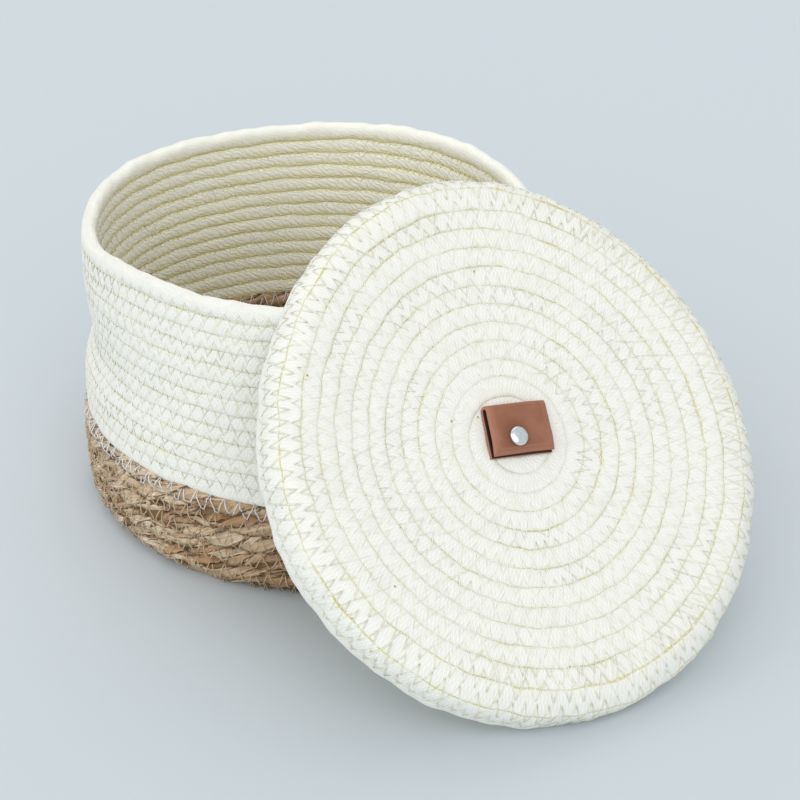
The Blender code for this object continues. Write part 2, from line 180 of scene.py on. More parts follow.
# The cord's three twisted strands, and its lumps: their size, and their spacing along it.
STRAND_DEPTH, STRAW_LAY = 0.00095, FULL_TURN / 0.060
STRAW_LUMPS = ((0.00022, 0.031, 1.0), (0.00025, 0.083, 0.0))
# How far the hand-made basket is out of round: waves round it, their size and where they peak.
FOOT_WAVES = ((1, 0.0032, -82), (2, 0.0013, 53), (3, 0.0003, -21))
RIM_WAVES = ((1, 0.0017, 168), (2, 0.0019, 48), (3, 0.0012, 27), (4, 0.0008, 34))
HEIGHT_WAVES = ((1, 0.0014, -12), (2, 0.0004, 6), (3, 0.0006, 33), (4, 0.0005, 19))
# How far the edge between straw and cotton rises and falls round the basket, and at what height.
BAND_WAVES, BAND_HEIGHT, BAND_SPREAD = ((1, 0.0026, 190), (2, 0.0010, 190)), 0.050, 0.028
# The middle of the base keeps its round form, and the floor its level, up to these.
ROUND_WITHIN, LEVEL_BELOW = 0.115, 0.02
# The rim's corner at the left: its azimuth, half its spread, how far out and how far down it is,
# from which height on, and how fast it grows.
CORNER_AT, CORNER_SPREAD, CORNER_OUT, CORNER_DOWN = 166 * DEGREE, 18 * DEGREE, 0.0032, 0.0034
CORNER_FROM, CORNER_RISE, CORNER_POWER = 0.100, 0.045, 1.2
# The dent in the wall under that corner: its azimuth and height, half its spreads, and its depth.
# It is sharper below than above.
DENT_AT, DENT_HEIGHT, DENT_DEPTH = 158 * DEGREE, 0.090, 0.0040
DENT_TURN, DENT_ABOVE, DENT_BELOW = 34 * DEGREE, 0.022, 0.012
# Sewn rows don't run true: three ripples with their size, count round, and change by row.
RIPPLES = ((0.00030, 17, 520.0), (0.00022, 31, -830.0), (0.00018, 53, 1210.0))
FLOOR_CLEARANCE = 0.0002

chance = np.random.default_rng(11)


def wall_radius(height):
    """The wall's outer radius: a belly over the foot, narrower towards the rim."""
    low = FOOT_DROP * ((BELLY_HEIGHT - height) / BELLY_HEIGHT).clip(0) ** 2
    share = ((height - BELLY_HEIGHT) / (RIM_HEIGHT - BELLY_HEIGHT)).clip(0)
    return BELLY_RADIUS - low - RIM_DROP * share**SHOULDER_POWER


def profile_of(radii, heights, start=0.0):
    """A cord's middle as (length, radius, height), its lengths counted from a start."""
    steps = np.hypot(np.diff(radii), np.diff(heights))
    return np.concatenate([[0.0], np.cumsum(steps)]) - start, radii, heights


def basket_profile(inset):
    """A cord's middle up the basket, as (length, radius, height), from the middle of the base."""
    wall_low = BASE_HEIGHT + BASE_FILLET
    foot = wall_radius(np.array(wall_low)) - STRAW_INSET - BASE_FILLET
    bend = np.linspace(0, math.pi / 2, 24)
    heights = np.linspace(wall_low, RIM_HEIGHT + PROFILE_OVER_RIM, 300)[1:]
    radii = np.concatenate([[0.0], foot + BASE_FILLET * np.sin(bend), wall_radius(heights) - inset])
    heights = np.concatenate([[BASE_HEIGHT], wall_low - BASE_FILLET * np.cos(bend), heights])
    return profile_of(radii, heights)


def wound(profile, length, angle, side=1.0):
    """A cord's middle, the way out of the wall and the way up it, at lengths up the profile.

    side is -1 for a lid, whose outside is its top.
    """
    lengths, radii, heights = profile
    radius, height = (np.interp(length, lengths, values) for values in (radii, heights))
    reach = 0.0012
    run, rise = (
        np.interp(length + reach, lengths, values) - np.interp(length - reach, lengths, values)
        for values in (radii, heights)
    )
    size = np.hypot(run, rise).clip(1e-9)
    run, rise = run / size, rise / size
    east, north = np.cos(angle), np.sin(angle)
    middle = np.stack([radius * east, radius * north, height], -1)
    up = np.stack([run * east, run * north, rise], -1)
    out = np.stack([rise * east, rise * north, -run], -1) * side
    return middle, out, up


def evenly(frame_at, start, end, step):
    """Turns from start to end at which a cord's points lie a step apart, and their lengths."""
    fine = np.linspace(start, end, int(abs(end - start) * 500) + 2)
    steps = np.linalg.norm(np.diff(frame_at(fine)[0], axis=0), axis=1)
    lengths = np.concatenate([[0.0], np.cumsum(steps)])
    marks = np.linspace(0, lengths[-1], int(lengths[-1] / step) + 2)
    return np.interp(marks, lengths, fine), marks


def waves(angle, terms):
    """The sum of slow waves round the basket."""
    return sum(size * np.cos(order * (angle - peak * DEGREE)) for order, size, peak in terms)


def ripple(angle, level):
    """The sum of the rows' small ripples."""
    return sum(size * np.sin(count * angle + change * level) for size, count, change in RIPPLES)


def away_from(angle, azimuth, spread):
    """How many spreads an angle is from an azimuth, the short way round."""
    return np.angle(np.exp(1j * (angle - azimuth))) / spread


def settle_basket(points):
    """Puts points of a perfectly round basket where the hand-made one has them."""
    x, y, z = np.moveaxis(points, -1, 0)
    radius, angle = np.hypot(x, y), np.arctan2(y, x)
    share = ((z - BELLY_HEIGHT) / (RIM_HEIGHT - BELLY_HEIGHT)).clip(0, 1)
    reach = (radius / ROUND_WITHIN).clip(0, 1) ** 2
    lifted = (z / LEVEL_BELOW).clip(0, 1)
    out = (waves(angle, FOOT_WAVES) * (1 - share) + waves(angle, RIM_WAVES) * share) * reach
    up = waves(angle, HEIGHT_WAVES) * share + ripple(angle, z) * lifted
    band = np.exp(-(((z - BAND_HEIGHT) / BAND_SPREAD) ** 2)) * lifted
    up = up + waves(angle, BAND_WAVES) * band
    corner = np.exp(-(away_from(angle, CORNER_AT, CORNER_SPREAD) ** 2))
    corner = corner * ((z - CORNER_FROM) / CORNER_RISE).clip(0, 1) ** CORNER_POWER
    out = out + CORNER_OUT * corner
    up = up - CORNER_DOWN * corner
    over = (z - DENT_HEIGHT) / np.where(z > DENT_HEIGHT, DENT_ABOVE, DENT_BELOW)
    out = out - DENT_DEPTH * np.exp(-(away_from(angle, DENT_AT, DENT_TURN) ** 2) - over**2)
    settled = np.stack([x + out * np.cos(angle), y + out * np.sin(angle), z + up], -1)
    settled[..., 2] = np.maximum(settled[..., 2], FLOOR_CLEARANCE)
    return settled


def tubes(rings, along, around, flip=False):
    """Points, faces and face-corner coordinates of closed tubes with equal ring counts.

    rings has the shape (tubes, rings, sides, 3), and along and around are lengths in metres.
    """
    many, count, sides = rings.shape[:3]
    base = (np.arange(many)[:, None, None] * count + np.arange(count - 1)[None, :, None]) * sides
    side = np.arange(sides)[None, None, :]
    after = (side + 1) % sides
    quads = np.stack([base + side, base + sides + side, base + sides + after, base + after], -1)
    along = np.broadcast_to(along, (many, count))
    around = np.broadcast_to(around, (many, count, sides + 1))
    low, high = along[:, :-1, None], along[:, 1:, None]
    u = np.stack([np.broadcast_to(v, (many, count - 1, sides)) for v in (low, high, high, low)], -1)
    v = np.stack([around[:, :-1, :-1], around[:, 1:, :-1], around[:, 1:, 1:], around[:, :-1, 1:]], -1)
    first = np.arange(many)[:, None] * count * sides + np.arange(sides)[None, :]
    last = first + (count - 1) * sides
    if flip:
        quads, u, v, first = quads[..., ::-1], u[..., ::-1], v[..., ::-1], first[:, ::-1]
    else:
        last = last[:, ::-1]
    faces = quads.reshape(-1, 4).tolist() + first.tolist() + last.tolist()
    caps = np.zeros((2 * many * sides, 2))
    return rings.reshape(-1, 3), faces, np.concatenate([np.stack([u, v], -1).reshape(-1, 2), caps])


def piece_of(name, shape, material, body, marks=()):
    """One object made of points, faces and coordinates, with its finish, marks and body."""
    points, faces, uv = shape
    mesh = bpy.data.meshes.new(name)
    mesh.from_pydata(points.tolist(), [], faces)
    mesh.polygons.foreach_set("use_smooth", np.ones(len(faces), bool))
    layer = mesh.uv_layers.new(name="lay")
    layer.data.foreach_set("uv", uv.astype(np.float32).ravel())
    for mark, values in dict(marks).items():
        made = mesh.attributes.new(mark, "FLOAT_VECTOR", "POINT")
        made.data.foreach_set("vector", values.astype(np.float32).ravel())
    mesh.materials.append(material)
    mesh.update()
    piece = bpy.data.objects.new(name, mesh)
    bpy.context.scene.collection.objects.link(piece)
    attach(piece, body)
    return piece


def superellipse(angle, half_out, half_up, power):
    """Points of a cord's section, from the outside over the top and round."""
    c, s = np.cos(angle), np.sin(angle)
    out = half_out * np.sign(c) * np.abs(c) ** (2 / power)
    up = half_up * np.sign(s) * np.abs(s) ** (2 / power)
    return out, up


straw_profile = basket_profile(STRAW_INSET)


def straw_angle(turn):
    """Where round the basket the straw cord is at a turn."""
    return STEP_ANGLE + FULL_TURN * (turn - STRAW_TURNS)


def straw_frame(turn, shift=0.0):
    """The straw cord's middle, out and up. Its inner end is tucked straight over the base's middle."""
    curled = np.maximum(turn, STRAW_CURL_END)
    middle, out, up = wound(straw_profile, STRAW_PITCH * (1 + curled) + shift, straw_angle(curled))
    return middle + np.cross(up, out) * ((turn - curled) * STRAW_TUCK)[..., None], out, up


def straw_section(along, angle, half):
    """How far the straw cord's surface stands from its middle, lumpy where its strands cross."""
    strands = STRAND_DEPTH * np.cos(3 * (angle - along * STRAW_LAY))
    lumps = sum(
        size * np.sin(along * FULL_TURN / spacing + start) for size, spacing, start in STRAW_LUMPS
    )
    return half + strands + lumps


def around_cord(middle, out, up, ring_out, ring_up):
    """The points of a cord's rings, at distances out and up from its middle."""
    return middle[..., None, :] + out[..., None, :] * ring_out[..., None] \
        + up[..., None, :] * ring_up[..., None]


curl, base, wall = (
    evenly(straw_frame, start, end, step) for start, end, step in (
        (STRAW_INNER_END, STRAW_ZERO, CURL_STEP),
        (STRAW_ZERO, STRAW_WALL_TURN, BASE_STEP),
        (STRAW_WALL_TURN, STRAW_TURNS, WALL_STEP),
    )
)
straw_turn = np.concatenate([curl[0], base[0][1:], wall[0][1:]])
straw_along = np.concatenate([curl[1] - curl[1][-1], base[1][1:], base[1][-1] + wall[1][1:]])
angles = np.arange(STRAW_SIDES) / STRAW_SIDES * FULL_TURN
around_out, around_up = superellipse(angles, 1.0, STRAW_PITCH / 2 / STRAW_CORE * STRAW_LAP, STRAW_POWER)
thick = straw_section(straw_along[:, None], angles[None, :], STRAW_CORE)
rings = around_cord(*straw_frame(straw_turn), around_out * thick, around_up * thick)
girth = np.linspace(0, 1, STRAW_SIDES + 1) * STRAW_GIRTH


def fade(value, start, end, low=0.0, high=1.0):
    """Goes smoothly from low to high while value goes from start to end."""
    made = add(tree_of(value), "ShaderNodeMapRange", {
        "Value": value, "From Min": start, "From Max": end, "To Min": low, "To Max": high,
    }, interpolation_type="SMOOTHSTEP")
    return made.outputs["Result"]


def blend(share, first, second):
    """A mixture of two colours, each a link or its red, green and blue."""
    first, second = (
        colour if isinstance(colour, bpy.types.NodeSocket) else (*colour, 1.0)
        for colour in (first, second)
    )
    links = {0: share, 6: first, 7: second}
    return add(tree_of(share), "ShaderNodeMix", links, data_type="RGBA").outputs[2]


def layered(colour, *layers):
    """A colour with others laid over it one by one, each given with its share."""
    for layer, share in layers:
        colour = blend(share, colour, layer)
    return colour


def times(value, *others):
    """The product of links and plain numbers."""
    for other in others:
        value = maths("MULTIPLY", value, other)
    return value


def split(vector):
    """The three numbers of a vector, by the names X, Y and Z."""
    return add(tree_of(vector), "ShaderNodeSeparateXYZ", {0: vector}).outputs


def noise(place, scale, detail=3.0):
    """Chance spots between 0 and 1, so many to a metre."""
    links = {"Vector": place, "Scale": scale, "Detail": detail}
    return add(tree_of(place), "ShaderNodeTexNoise", links).outputs["Fac"]


def stretched(place, scale):
    """A place whose three directions are scaled each by its own number."""
    return add(tree_of(place), "ShaderNodeMapping", {"Vector": place, "Scale": scale}).outputs[0]


def on_object(tree):
    """The place on the object, in metres."""
    return add(tree, "ShaderNodeTexCoord").outputs["Object"]


def dress(shader, colour, relief, strength, distance):
    """Feeds a finish its colour, and its relief as a bump so many metres deep."""
    tree = tree_of(colour)
    bump = add(tree, "ShaderNodeBump", {"Height": relief, "Strength": strength, "Distance": distance})
    tree.links.new(colour, shader.inputs["Base Color"])
    tree.links.new(bump.outputs[0], shader.inputs["Normal"])


def mark(tree, name, kind="Vector"):
    """A mark that the mesh carries from point to point."""
    return add(tree, "ShaderNodeAttribute", attribute_name=name).outputs[kind]


def straw_finish(name, roughness, pale_and_lit, tan, rust_and_shade, brown):
    """Dry leaves: a colour for each leaf, partly chance and partly painted light and shade,
    redder inside, fibres along them, and brown stains.
    """
    made, tree, shader = finish(name, roughness, Specular_IOR_Level=0.5)
    leaf = split(mark(tree, "leaf"))
    lay = add(tree, "ShaderNodeUVMap", uv_map="lay").outputs["UV"]
    fibres = noise(stretched(lay, (60.0, 2600.0, 1.0)), 1.0, 4.0)
    spots = noise(on_object(tree), 70.0)
    # The paler and redder shares carry painted light and shade from the leaf marks, mixed with chance.
    colour = layered(
        tan,
        (pale_and_lit, fade(leaf["X"], 0.15, 0.95)),
        (rust_and_shade, fade(leaf["Y"], 0.55, 0.95, 0.0, 0.55)),
        (rust_and_shade, times(leaf["Z"], 0.6)),
        (brown, fade(fibres, 0.42, 0.62, 0.0, 0.45)),
        (brown, fade(spots, 0.48, 0.70, 0.0, 0.45)),
    )
    dress(shader, colour, fibres, 0.8, 0.0003)
    return made


# The core of broken straw is given dark browns, far darker than the leaves: painted shade where it shows in
# the gaps between them.
core_gap_shade_look = straw_finish(
    "straw_core_gap_shade", 0.85, pale_and_lit=(0.34, 0.23, 0.13), tan=(0.26, 0.15, 0.075), rust_and_shade=(0.22, 0.10, 0.04),
    brown=(0.10, 0.05, 0.02),
)
shape = tubes(settle_basket(rings)[None], straw_along[None], girth)
straw_cord = piece_of("straw_cord", shape, core_gap_shade_look, "basket")
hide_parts("straw_coil")


# The leaves: each is a flat strip that runs along the cord and winds slowly round it. Its section is
# given by how far across and how high its six corners are.
LEAF_LENGTHS, LEAF_WIDTHS, LEAF_LIFT, LEAF_BOW = (0.030, 0.062), (0.55, 1.10), 0.0011, 0.00018
LEAF_ACROSS = np.array([-1.0, -0.45, 0.45, 1.0, 0.6, -0.6])
LEAF_HEIGHT = np.array([-0.00008, 0.00022, 0.00022, -0.00008, -0.00028, -0.00028])
LEAF_SUNK, LEAF_BREADTH, LAY_SPREAD = 0.0004, 0.0026, 0.35
# The straw is painted paler on the side of the basket where the light falls and redder away from
# it, as painted light and shade: the lit side's azimuth, and its share in a leaf's colour.
STRAW_LIT_SIDE_AT, LIT_SIDE_SHARE = 130 * DEGREE, 0.70


def straw_leaves(start, end, count, rings_each, steep):
    """Strips laid on the straw cord between two lengths, as rings, lengths and marks.

    steep is how much faster than usual they wind round the cord, which makes them shorter.
    """
    length = chance.uniform(*LEAF_LENGTHS, count) / steep**0.7
    first = chance.uniform(start, end, count) - length / 2
    first = np.clip(first, start - 0.01, end - length)
    share = np.linspace(0, 1, rings_each)[None, :]
    along = first[:, None] + length[:, None] * share
    lay = STRAW_LAY * chance.normal(1.0, LAY_SPREAD, count) * steep
    turned = chance.uniform(0, FULL_TURN, count)[:, None] + lay[:, None] * (along - first[:, None])
    narrowed = np.sin(math.pi * (0.06 + 0.88 * share)) ** 0.55
    width = chance.uniform(*LEAF_WIDTHS, count)[:, None] * narrowed
    lift = chance.uniform(0.0, LEAF_LIFT, count)[:, None] * np.sin(math.pi * share) ** 0.4
    bow = chance.normal(0.0, LEAF_BOW, (count, 1, 1)) * LEAF_ACROSS[None, None, :]
    angle = turned[..., None] + width[..., None] * LEAF_ACROSS
    turn = np.interp(along, straw_along, straw_turn)
    thick = straw_section(along[..., None], angle, STRAW_HALF) - LEAF_SUNK + lift[..., None]
    thick = thick + LEAF_HEIGHT + bow
    section = superellipse(angle, thick, thick * (STRAW_PITCH / 2 / STRAW_HALF), STRAW_POWER)
    rings = around_cord(*straw_frame(turn), *section)
    # Painted light and shade: leaves are paler towards the lit side of the basket and redder away from it,
    # mixed with chance.
    lit_side = 0.5 + 0.5 * np.cos(straw_angle(turn.mean(1)) - STRAW_LIT_SIDE_AT)
    pale_and_lit = chance.uniform(0, 1, count) * (1 - LIT_SIDE_SHARE) + LIT_SIDE_SHARE * lit_side
    rusty_and_shaded = chance.uniform(0, 1, count) * (1 - LIT_SIDE_SHARE) + LIT_SIDE_SHARE * (1 - lit_side)
    tone_and_light = np.stack([pale_and_lit, rusty_and_shaded, np.cos(turned.mean(1)) < 0], -1)
    tone_and_light = np.broadcast_to(tone_and_light[:, None, None, :], rings.shape)
    around = np.concatenate([LEAF_ACROSS, LEAF_ACROSS[:1]]) * LEAF_BREADTH
    return settle_basket(rings), along + turned[:, :1] * 3, around, tone_and_light


straw_look = straw_finish(
    "straw_leaf", 0.55, pale_and_lit=(0.92, 0.79, 0.60), tan=(0.50, 0.31, 0.15), rust_and_shade=(0.40, 0.19, 0.075),
    brown=(0.20, 0.10, 0.04),
)
wall_from = float(np.interp(STRAW_WALL_TURN, straw_turn, straw_along))
points, faces, uv, tones = [], [], [], []
offset = 0
for start, end, count, rings_each, steep in (
    (0.0, wall_from, 460, 6, 1.0),
    (wall_from, straw_along[-1], 1150, 9, 1.0),
    (wall_from, straw_along[-1], 170, 9, 2.0),
):
    rings, along, around, tone_and_light = straw_leaves(start, end, count, rings_each, steep)
    some_points, some_faces, some_uv = tubes(rings, along, around)
    faces += [[corner + offset for corner in face] for face in some_faces]
    offset += len(some_points)
    points.append(some_points)
    uv.append(some_uv)
    tones.append(tone_and_light.reshape(-1, 3))
shape = np.concatenate(points), faces, np.concatenate(uv)
piece_of("straw_leaves", shape, straw_look, "basket", {"leaf": np.concatenate(tones)})


# ------------------------------------------------------------
# The cotton rope of the wall. One soft braided rope lies on the end of the straw cord and winds
# on up to the rim. Outside it is pressed flat by the sewing, inside it keeps its round lay.
# ------------------------------------------------------------
COTTON_START, COTTON_PITCH, COTTON_TURNS = 0.1614, 0.00797, 13.0
COTTON_INSET, COTTON_STEP, START_HALF = 0.0033, 0.00158, 0.0042
ROPE_OUT, ROPE_IN, ROPE_SIDES, ROPE_GIRTH = 0.0034, 0.0035, 16, 0.0270
FLAT_POWER, ROUND_POWER, RIM_POWER = 4.6, 3.0, 2.5
RIM_SWELL, RIM_WHITE = 1.12, 0.45
SEAM_LAP, ROPE_END = 0.0008, 0.06
STITCH_LENGTH, STITCH_REACH, STITCHED_RADIUS = 0.0070, 0.45, 0.1215
PRESSED_WIDTH, PRESSED_DEPTH = 0.13, 0.00018
# The rope's uneven width and thickness: each term's size, its spacing, its seed and its shift.
ROPE_LOOSE = ((0.00028, 0.006, 3, 0.0), (0.00020, 0.021, 4, 0.2))
ROPE_BULGES = ((0.00015, 0.009, 5, 0.0), (0.00030, 0.045, 6, 0.37))
# Its strands outside, braided, and inside, twisted: their width, slant, crossing and waver.
BRAIDED, TWISTED = (ROPE_GIRTH / 18, 0.8, 1.0, 0.0022), (ROPE_GIRTH / 14, 0.42, 0.0, 0.0045)

cotton_profile = basket_profile(COTTON_INSET)


def cotton_frame(turn, shift=0.0):
    """The cotton rope's middle, out and up. Its first row climbs as far as a straw row."""
    climb = STRAW_PITCH * np.minimum(turn, 1.0) + COTTON_PITCH * np.maximum(turn - 1.0, 0.0)
    return wound(cotton_profile, COTTON_START + climb + shift, STEP_ANGLE + FULL_TURN * turn)


def cotton_stitches(turn):
    """How many stitches are sewn up to a turn, at a spacing that varies a little."""
    count = FULL_TURN * STITCHED_RADIUS / STITCH_LENGTH * turn
    return count + 0.8 * np.sin(turn * 3.1) + 0.5 * np.sin(turn * 7.7)


def wander(along, spacing, seed):
    """Smooth chance unevenness between -1 and 1, with a new value every spacing."""
    knots = np.random.default_rng(seed).uniform(-1, 1, int(np.max(along) / spacing) + 4)
    place = along / spacing
    index = np.floor(place).astype(int)
    share = place - index
    share = share * share * (3 - 2 * share)
    return knots[index] * (1 - share) + knots[index + 1] * share


def uneven(along, terms):
    """The sum of a rope's unevenness, as a column."""
    return sum(size * wander(along + shift, spacing, seed) for size, spacing, seed, shift in terms)[:, None]


def stitch_wave(phase):
    """-1 at a whole stitch and 1 half-way to the next, straight in between."""
    return 1 - 4 * np.abs(phase - np.floor(phase) - 0.5)


def rope_rings(frame_at, turn, along, lower, upper, stitch, strength, flatness, swell, rim):
    """A sewn rope's rings and marks.

    lower and upper are its half widths down to and up to its neighbours' seams, stitch holds the
    stitch counts at the seam above and below, and strength how firmly each is sewn. Where rim is 1,
    the rope is whiter over its top and inside than elsewhere.
    """
    angle = (np.arange(ROPE_SIDES) + 0.5) / ROPE_SIDES * FULL_TURN
    outside = np.cos(angle) > 0
    power = np.where(outside, flatness[:, None], np.minimum(flatness[:, None], ROUND_POWER))
    ring_out, ring_up = superellipse(angle, np.where(outside, ROPE_OUT, ROPE_IN), 1.0, power)
    half = np.where(ring_up > 0, upper[:, None], lower[:, None]) + uneven(along, ROPE_LOOSE)
    width_share = 0.5 * ring_up * (1 + 2 * SEAM_LAP / COTTON_PITCH)
    pressed = sum(
        np.exp(-((width_share + edge - STITCH_REACH * stitch_wave(stitch[:, seam])) / PRESSED_WIDTH) ** 2)
        * strength[:, seam] for seam, edge in (([0], -0.5), ([1], 0.5))
    )
    pressed = (pressed * np.where(outside, 1.0, 0.3)).clip(0, 1)
    bulge = uneven(along, ROPE_BULGES) * np.where(outside, 1.0, 0.6)
    depth = np.sign(ring_out) * (np.abs(ring_out) * swell[:, None] - PRESSED_DEPTH * pressed + bulge)
    middle, out, _ = frame_at(turn[:, None], ring_up * half)
    white = np.maximum(outside, RIM_WHITE * rim[:, None] * (ring_up > -0.5))
    marks = {
        name: np.stack(np.broadcast_arrays(seams[:, :1], seams[:, 1:], third), -1).reshape(-1, 3)
        for name, seams, third in (("stitch", stitch, width_share), ("seams", strength, white))
    }
    girth = (np.arange(ROPE_SIDES + 1) + 0.5) / ROPE_SIDES * ROPE_GIRTH
    return middle + out * depth[..., None], girth, marks


def taper(turn, end, run):
    """1 along a rope, and a rounded fall to a small end over its last run of turns."""
    return np.sqrt(1 - (1 - ((end - turn) / run).clip(0, 1)) ** 2 * 0.93)


turn, along = evenly(cotton_frame, 0.0, COTTON_TURNS, COTTON_STEP)
rim = ((turn - (COTTON_TURNS - 1)) / 0.06).clip(0, 1)
ending = taper(turn, COTTON_TURNS, ROPE_END)
upper = (np.where(turn < 1, STRAW_PITCH, COTTON_PITCH) / 2 + SEAM_LAP) * ending
lower = np.where(turn < 1, START_HALF, np.where(turn < 2, STRAW_PITCH, COTTON_PITCH) / 2) + SEAM_LAP
stitch = np.stack([cotton_stitches(turn), cotton_stitches(turn - 1)], -1)
strength = np.stack([1 - rim, np.where(turn < 1, 0.4, 1.0)], -1)
rings, girth, marks = rope_rings(
    cotton_frame, turn, along, lower, upper, stitch, strength,
    FLAT_POWER - (FLAT_POWER - RIM_POWER) * rim, (1 + (RIM_SWELL - 1) * rim) * ending, rim,
)
shape = tubes(settle_basket(rings)[None], along[None], girth)


def new_group(name, inputs, outputs):
    """An empty effect with named inputs of their kinds, and named numbers that it puts out."""
    tree = bpy.data.node_groups.new(name, "ShaderNodeTree")
    for socket, kind in inputs.items():
        tree.interface.new_socket(socket, in_out="INPUT", socket_type="NodeSocket" + kind)
    for socket in outputs:
        tree.interface.new_socket(socket, in_out="OUTPUT", socket_type="NodeSocketFloat")
    return tree, tree.nodes.new("NodeGroupInput").outputs


def crease_group():
    """Where a sewing thread presses into a rope, and where two rows of the rope meet."""
    tree, given = new_group(
        "stitch_crease", {"Stitch": "Vector", "Seams": "Vector", "Pitch": "Float", "Width": "Float"},
        ("Crease", "Groove", "Hollow"),
    )
    stitch, seams = split(given["Stitch"]), split(given["Seams"])
    masks = []
    for count, edge in (("X", 0.5), ("Y", -0.5)):
        wave = times(maths("PINGPONG", stitch[count], 0.5), 4.0)
        leg = maths("MULTIPLY_ADD", maths("SUBTRACT", wave, 1.0), STITCH_REACH, edge)
        away = maths("ABSOLUTE", maths("SUBTRACT", stitch["Z"], leg))
        away = times(away, times(given["Pitch"], 0.46))
        mask = maths("SUBTRACT", 1.0, maths("DIVIDE", away, given["Width"]), clamp=True)
        masks.append(times(mask, seams[count]))
    above = maths("GREATER_THAN", stitch["Z"], 0.0)
    firm = add(tree, "ShaderNodeMix", {0: above, 2: seams["Y"], 3: seams["X"]}).outputs[0]
    near = maths("ABSOLUTE", stitch["Z"])
    add(tree, "NodeGroupOutput", {
        "Crease": maths("MAXIMUM", *masks),
        "Groove": times(fade(near, 0.444, 0.488), firm),
        "Hollow": times(fade(near, 0.16, 0.50), firm),
    })
    return tree


def lay_group():
    """A rope's strands: slanting one way inside, and crossing over each other where it is braided."""
    tree, given = new_group("rope_strands", {
        "Lay": "Vector", "Strand": "Float", "Slant": "Float", "Crossing": "Float", "Wobble": "Float",
    }, ("Height",))
    wobble = noise(given["Lay"], 280.0, 2.0)
    lay = split(given["Lay"])
    v = maths("MULTIPLY_ADD", wobble, given["Wobble"], lay["Y"])
    ridges = []
    for way in (1.0, -1.0):
        slant = times(lay["X"], given["Slant"], way)
        place = maths("DIVIDE", maths("ADD", v, slant), given["Strand"])
        ridge = times(maths("PINGPONG", place, 0.5), 2.0)
        ridges.append(maths("SINE", times(ridge, math.pi / 2)))
    crossed = maths("MAXIMUM", times(*ridges), 0.0)
    either = add(tree, "ShaderNodeMix", {0: given["Crossing"], 2: ridges[0], 3: crossed})
    add(tree, "NodeGroupOutput", {"Height": either.outputs[0]})
    return tree


crease_effect, braid_effect = crease_group(), lay_group()


def cotton_look(name, pitch, painted_crease_shade, seam_shade_shares):
    """Off-white braided cotton: braid and fibres in the relief, painted shade in the thread creases, between
    the strands and, yellowish green, in the seams.

    Inside, where nothing has pressed it, the rope shows its twisted strands instead, with painted
    shade on the lower half of each row and on the strands there.
    """
    made, tree, shader = finish(name, 0.88, Specular_IOR_Level=0.2, Sheen_Weight=0.1)
    stitch, seams = mark(tree, "stitch"), mark(tree, "seams")
    outside, level = split(seams)["Z"], split(stitch)["Z"]
    crease, groove, hollow = add(tree, "ShaderNodeGroup", {
        "Stitch": stitch, "Seams": seams, "Pitch": pitch, "Width": 0.0007,
    }, node_tree=crease_effect).outputs
    lay = add(tree, "ShaderNodeUVMap", uv_map="lay").outputs["UV"]
    braided, twisted = (
        add(tree, "ShaderNodeGroup", {
            "Lay": lay, "Strand": strand, "Slant": slant, "Crossing": crossing, "Wobble": wobble,
        }, node_tree=braid_effect).outputs[0] for strand, slant, crossing, wobble in (BRAIDED, TWISTED)
    )
    braid = add(tree, "ShaderNodeMix", {0: outside, 2: twisted, 3: braided}).outputs[0]
    place = on_object(tree)
    mottle, fibre = noise(place, 160.0), noise(place, 1500.0)
    rows = stretched(lay, (1.0, 0.0, 1.0))
    dashes, runs = noise(rows, 300.0, 2.0), noise(rows, 26.0, 1.0)
    husks = add(tree, "ShaderNodeTexVoronoi", {"Vector": place, "Scale": 42.0}).outputs["Distance"]

    white, grey_and_shade = (0.935, 0.94, 0.885), (0.75, 0.76, 0.67)
    yellow_shade, husk = (0.66, 0.62, 0.26), (0.50, 0.36, 0.15)
    outer = layered(
        white,
        (grey_and_shade, fade(mottle, 0.40, 0.75, 0.0, 0.25)),
        # Painted shade between the braided strands, over the cotton's own mottle above.
        (grey_and_shade, fade(braid, 0.5, 0.0, 0.0, 0.3)),
        # Painted shade in the creases where the thread presses into the rope.
        (painted_crease_shade, crease),
        # Painted shade, yellowish green, in the hollows of the thread creases and, in dashes, in the seams
        # between rows.
        (yellow_shade, times(crease, hollow, fade(mottle, 0.44, 0.56, 0.0, 0.75))),
        (yellow_shade, times(
            groove, fade(dashes, 0.44, 0.50, 0.22, 0.9), fade(runs, 0.36, 0.60, *seam_shade_shares),
        )),
        (husk, fade(husks, 0.030, 0.018)),
    )

    # Painted shade inside: the lower half of each row and the hollows by the seams turn yellowish, and the
    # strands there darker.
    cream, khaki_shade, shade = (0.98, 0.985, 0.88), (0.97, 0.945, 0.65), (0.85, 0.79, 0.43)
    shaded_underside = maths("MAXIMUM", fade(level, 0.10, -0.34), fade(hollow, 0.55, 1.0))
    strokes = times(fade(braid, 0.6, 0.1), fade(shaded_underside, 0.0, 0.8, 0.05, 0.55))
    inner = layered(cream, (khaki_shade, shaded_underside), (shade, strokes))

    sunk = times(crease, maths("MULTIPLY_ADD", outside, 0.7, 0.1))
    relief = times(braid, maths("MULTIPLY_ADD", outside, -0.3, 1.0))
    relief = maths("SUBTRACT", maths("MULTIPLY_ADD", fibre, 0.3, relief), sunk)
    dress(shader, blend(outside, inner, outer), relief, 1.0, 0.00024)
    return made


# Its colours after the pitch: the painted shade in the thread creases, and the share of painted shade in the
# seams.
wall_look = cotton_look("cotton_wall", COTTON_PITCH, (0.78, 0.78, 0.64), (0.30, 0.95))
cotton_rope = piece_of("cotton_rope", shape, wall_look, "basket", marks)
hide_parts("cotton_coil")


# The sewing thread: a zigzag over every seam between two rows, outside and inside. Its corners are
# sunk into the rope, and its legs lie proud.
THREAD, CORNER_SUNK, LEG_PROUD = 0.00025, -0.00030, 0.00008
